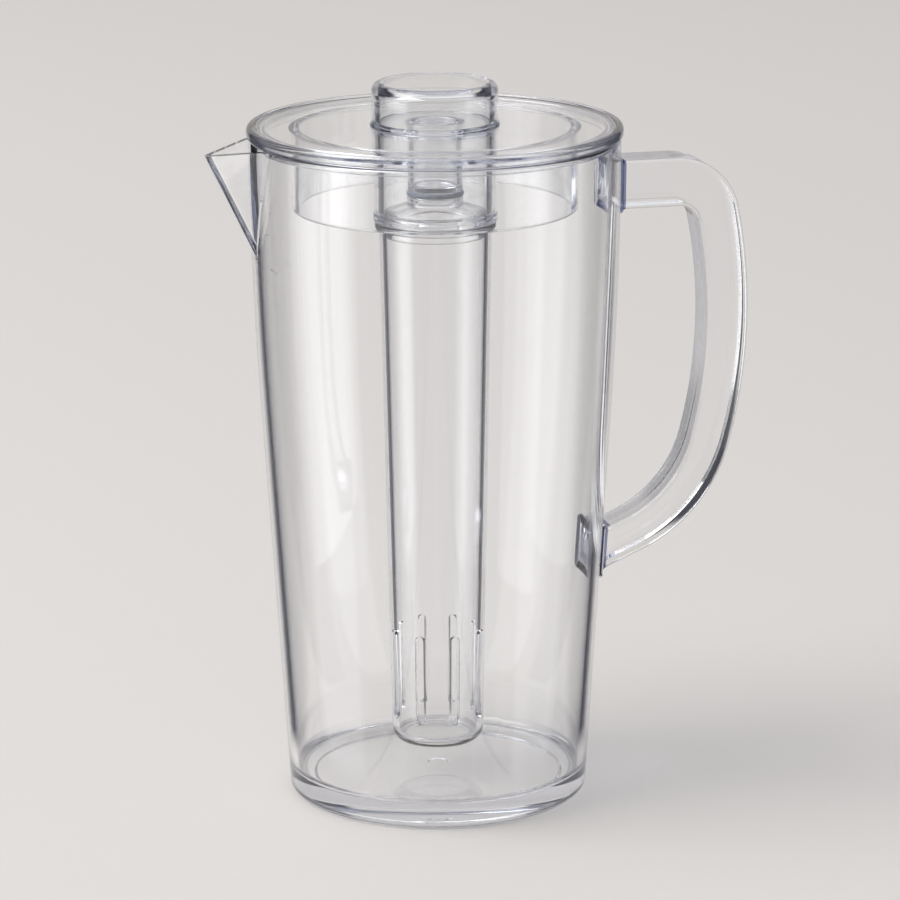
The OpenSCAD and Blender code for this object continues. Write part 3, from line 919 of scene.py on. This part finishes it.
def make_camera():
    data = bpy.data.cameras.new("camera")
    data.sensor_width = SENSOR
    data.lens = FOCAL_PX / FRAME_PX * SENSOR
    data.clip_start = 0.05
    ob = bpy.data.objects.new("camera", data)
    bpy.context.collection.objects.link(ob)
    spot = Vector((sin(VIEW_AZIMUTH) * DISTANCE, -cos(VIEW_AZIMUTH) * DISTANCE, EYE_HEIGHT))
    turn = (Matrix.Rotation(VIEW_AZIMUTH + PAN, 4, "Z") @ Matrix.Rotation(PITCH, 4, "X")
            @ Matrix.Rotation(ROLL, 4, "Z"))
    ob.matrix_world = Matrix.Translation(spot) @ turn
    bpy.context.scene.camera = ob


def area_light(name, spot, target, size, power):
    data = bpy.data.lights.new(name, "AREA")
    data.shape = "RECTANGLE"
    data.size, data.size_y = size
    data.energy = power
    ob = bpy.data.objects.new(name, data)
    bpy.context.collection.objects.link(ob)
    ob.location = spot
    ob.rotation_euler = (Vector(target) - Vector(spot)).to_track_quat("-Z", "Y").to_euler()
    ob.visible_camera = False
    return ob


STRIP_SIZE = (0.22, 0.5)


def strip_light(name, near, side, power):
    """Softbox that only shows in the jug's gloss, so far towards the camera and to its left."""
    towards = Vector((sin(VIEW_AZIMUTH), -cos(VIEW_AZIMUTH), 0))
    left = Vector((-cos(VIEW_AZIMUTH), -sin(VIEW_AZIMUTH), 0))
    spot = towards * near + left * side + Vector((0, 0, STRIP_SIZE[1] / 2))
    ob = area_light(name, spot, spot - left * side, STRIP_SIZE, power)
    ob.data.use_nodes = True
    nodes, links = ob.data.node_tree.nodes, ob.data.node_tree.links
    path = nodes.new("ShaderNodeLightPath")
    off_floor = maths(nodes, links, "LESS_THAN", path.outputs["Diffuse Depth"], 0.5)
    in_gloss = maths(nodes, links, "MULTIPLY", off_floor, is_mirrored(nodes, links))
    links.new(in_gloss, nodes["Emission"].inputs["Strength"])
    ob.visible_diffuse = False


def make_lights():
    area_light("key softbox", (-2.5, -0.1, 3.2), (0, 0, 0), (3.0, 3.0), 128)
    strip_light("left softbox", 0.13, 0.30, 0.29)
    strip_light("right softbox", 0.065, -0.30, 0.14)


def make_world():
    """Even light for the floor, a pale backdrop for the eye, and a dim room for the gloss."""
    world = bpy.data.worlds.new("studio")
    world.use_nodes = True
    bpy.context.scene.world = world
    nodes, links = world.node_tree.nodes, world.node_tree.links
    path = nodes.new("ShaderNodeLightPath")
    through = maths(
        nodes, links, "MAXIMUM", path.outputs["Is Glossy Ray"], path.outputs["Is Transmission Ray"])
    seen = maths(nodes, links, "MAXIMUM", path.outputs["Is Camera Ray"], through)
    lit, _, height = round_the_jug(nodes, links, 0)
    room = mixed(nodes, links, lit, DARK, BACKDROP)
    room = mixed(nodes, links, ranged(nodes, links, height, 0.6, 0.75), room, CEILING)
    shown = mixed(nodes, links, is_mirrored(nodes, links), BACKDROP, room)
    colour = mixed(nodes, links, seen, ROOM_LIGHT, shown)
    links.new(colour, nodes["Background"].inputs["Color"])


def set_light_paths():
    """Enough bounces for light that is guided along the thick parts of the plastic."""
    cycles = bpy.context.scene.cycles
    cycles.max_bounces = BOUNCES
    cycles.glossy_bounces = BOUNCES
    cycles.transmission_bounces = BOUNCES
    cycles.transparent_max_bounces = BOUNCES


bpy.context.scene.view_settings.view_transform = "Standard"
set_light_paths()

moulded_face = make_surface_group()
flow_tint = make_flow_group()

BODY_CLEAR, BODY_BAND = (1.0, 1.0, 1.0), (0.99, 0.992, 0.996)
BODY_DEPTH = (0.42, 0.47, 0.66)
# The third colour of each clear plastic is painted shade for where it is seen edge-on.
clear_body = clear_plastic(
    "clear body", BODY_CLEAR, BODY_BAND, (0.36, 0.36, 0.41), BODY_DEPTH, 2.5, edge_shade_from=0.72)
clear_bar = clear_plastic(
    "clear handle", BODY_CLEAR, BODY_BAND, (0.26, 0.27, 0.33), BODY_DEPTH, 2.5,
    edge_shade_from=0.3, wave=0.000004)
clear_lid = clear_plastic(
    "clear lid", (0.993, 0.995, 0.998), (0.978, 0.982, 0.99), (0.28, 0.30, 0.40),
    (0.36, 0.43, 0.68), 5, edge_shade_from=0.84)
clear_core = clear_plastic(
    "clear core", (0.992, 0.992, 0.993), (0.978, 0.98, 0.986), (0.28, 0.28, 0.33), BODY_DEPTH, 3.5)
seal = silicone("translucent silicone", (0.10, 0.12, 0.18), (0.16, 0.18, 0.24))

place(make_vessel(), "vessel", "jug", clear_body)
place(make_spout(), "spout", "jug", clear_body)
place(make_handle(), "handle", "jug", clear_bar)
place(make_lid(), "lid", "lid", clear_lid)
place(make_knob(), "knob", "stopper", clear_lid)
place(make_stem(), "stem", "stopper", clear_lid)
place(make_seal(), "seal_ring", "stopper", seal)
place(make_cap(), "core_cap", "core", clear_core)
place(make_tube(), "core_tube", "core", clear_core)

make_floor()
make_camera()
make_world()
make_lights()
